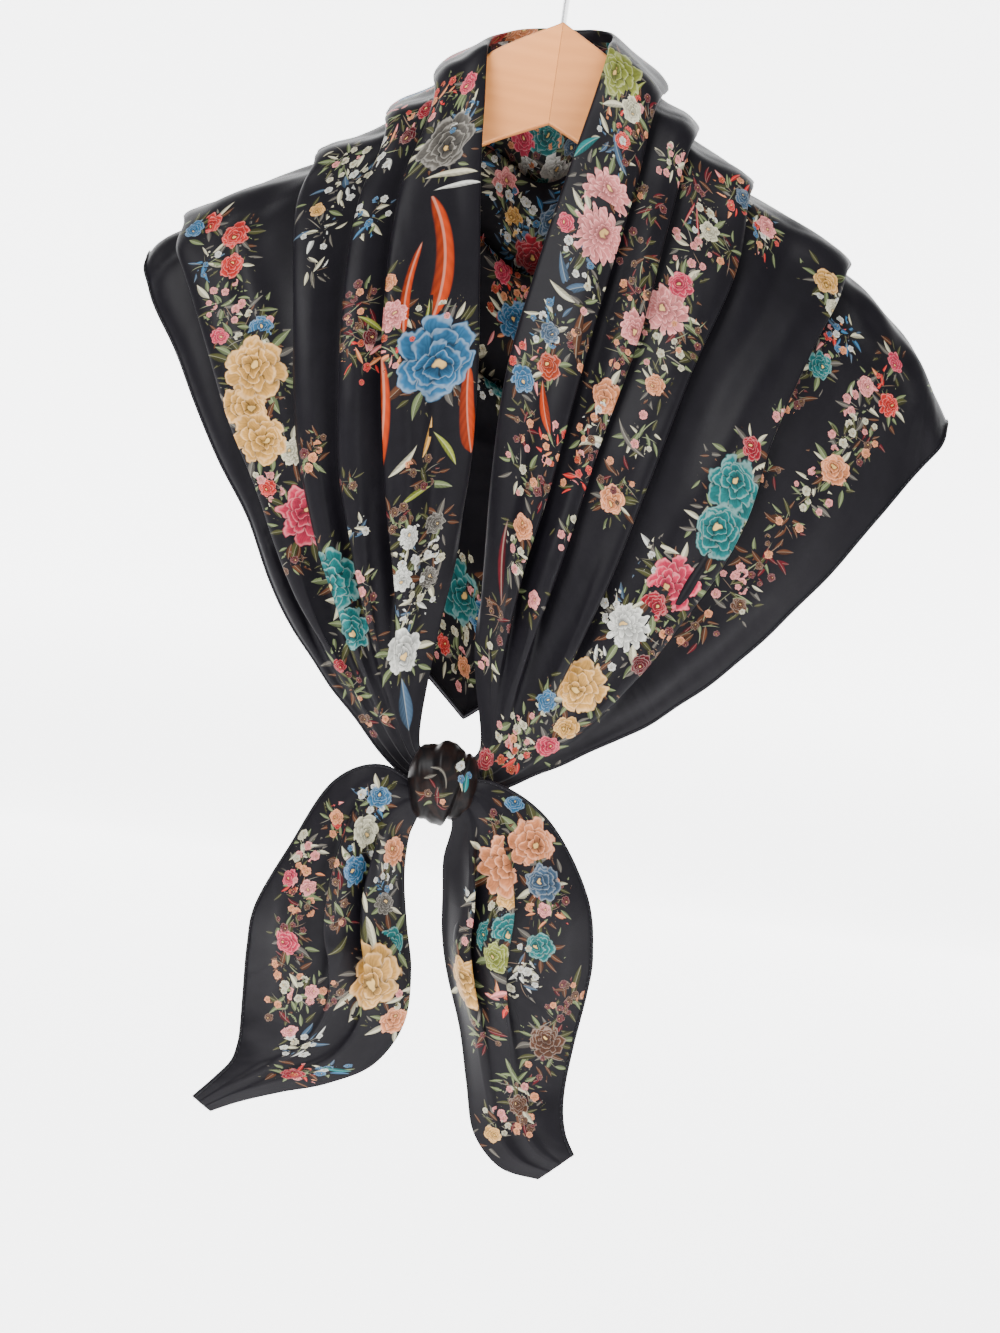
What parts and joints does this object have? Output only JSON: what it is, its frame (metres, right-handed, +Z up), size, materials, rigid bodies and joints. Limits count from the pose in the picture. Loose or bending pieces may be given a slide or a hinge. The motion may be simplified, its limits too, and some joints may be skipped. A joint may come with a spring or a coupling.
{
  "type": "silk square scarf on a wooden clothes hanger",
  "caption": "Silk square folded on its diagonal, pleated round a hanger, knotted in front with hanging tails and a point down the back; wooden hanger with a steel hook.",
  "frame": {"origin": "inside top of the hanger's hook, where it rests on its rail", "axes": "+Z up, -Y the front with the knot, +X to the right as seen from the front"},
  "size_m": [0.4631, 0.1779, 0.7176],
  "materials": {
    "silk": "soft lustre",
    "wood": "satin",
    "steel": "polished"
  },
  "bodies": {
    "root": {"front_left": "silk", "front_right": "silk", "back": "silk", "knot": "silk", "tail_left": "silk", "tail_right": "silk", "hanger_arm_left": "wood", "hanger_arm_right": "wood", "hanger_hook": "steel"}
  },
  "joints": []
}
